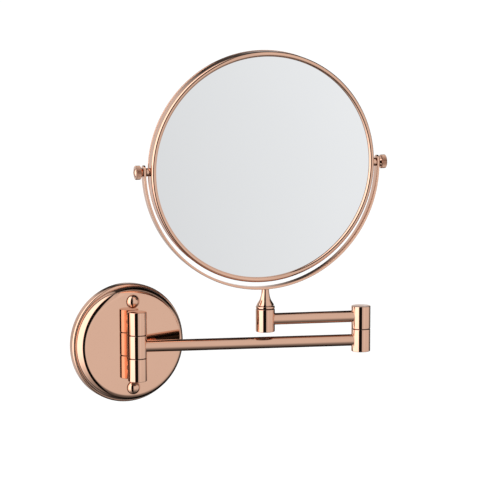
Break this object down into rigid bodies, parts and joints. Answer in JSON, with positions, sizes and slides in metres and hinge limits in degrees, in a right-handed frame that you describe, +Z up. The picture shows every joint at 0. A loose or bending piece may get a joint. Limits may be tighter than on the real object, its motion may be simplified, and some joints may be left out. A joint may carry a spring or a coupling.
{
  "type": "extendable wall shaving mirror",
  "caption": "Round double-sided shaving mirror in a half-hoop yoke on a folding swing arm, hinged to a round wall plate, all in polished rose gold.",
  "frame": {"origin": "centre of the wall plate's back face, on the wall", "axes": "+Z up, -Y out of the wall towards the user, +X along the wall, to the right for someone facing it"},
  "size_m": [0.2803, 0.0953, 0.3199],
  "materials": {
    "rose_gold": "polished rose gold plating",
    "steel": "plain zinc-plated steel",
    "mirror_glass": "silvered glass",
    "nylon": "dark nylon",
    "core_plastic": "moulded plastic"
  },
  "bodies": {
    "wall_plate": {"rosette": "rose_gold", "back_plate": "steel", "back_screws": "steel", "dome_caps": "rose_gold", "hinge_knuckle_bottom": "rose_gold", "hinge_knuckle_top": "rose_gold", "hinge_pin": "steel", "hinge_washer_lower": "nylon"},
    "lower_arm": {"arm_knuckle_wall": "rose_gold", "hinge_washer_upper": "nylon", "lower_rod": "rose_gold", "elbow_knuckle_lower": "rose_gold", "elbow_washer": "nylon"},
    "upper_arm": {"elbow_knuckle_upper": "rose_gold", "elbow_pin": "steel", "upper_rod": "rose_gold", "stem_knuckle": "rose_gold", "stem_washer": "nylon"},
    "yoke": {"stem_pin": "steel", "stem_collar": "rose_gold", "stem": "rose_gold", "yoke_strap": "rose_gold"},
    "mirror_head": {"rim_band": "rose_gold", "bezel_front": "rose_gold", "bezel_back": "rose_gold", "plain_glass": "mirror_glass", "magnifying_glass": "mirror_glass", "core_disc": "core_plastic", "pivot_boss_left": "rose_gold", "pivot_boss_right": "rose_gold"},
    "screw_left": {"thumbscrew_left": "rose_gold"},
    "screw_right": {"thumbscrew_right": "rose_gold"}
  },
  "joints": [
    {"name": "wall_hinge", "type": "hinge", "parent": "wall_plate", "child": "lower_arm", "pos_m": [0, -0.0274, 0], "axis": [0, 0, 1], "range_deg": [-163.3, 16.7]},
    {"name": "elbow_hinge", "type": "hinge", "parent": "lower_arm", "child": "upper_arm", "pos_m": [0.19702, -0.08651, 0], "axis": [0, 0, 1], "continuous": true},
    {"name": "stem_swivel", "type": "hinge", "parent": "upper_arm", "child": "yoke", "pos_m": [0.11095, -0.06312, 0], "axis": [0, 0, 1], "continuous": true},
    {"name": "mirror_tilt", "type": "hinge", "parent": "yoke", "child": "mirror_head", "pos_m": [0.10798, -0.06267, 0.1607], "axis": [0.9884, -0.1512, 0.014], "continuous": true},
    {"name": "left_thumbscrew_turn", "type": "hinge", "parent": "mirror_head", "child": "screw_left", "pos_m": [-0.00766, -0.04497, 0.15907], "axis": [-0.9884, 0.1512, -0.014], "range_deg": [0, 540]},
    {"name": "right_thumbscrew_turn", "type": "hinge", "parent": "mirror_head", "child": "screw_right", "pos_m": [0.22362, -0.08037, 0.16233], "axis": [0.9884, -0.1512, 0.014], "range_deg": [0, 540]}
  ]
}
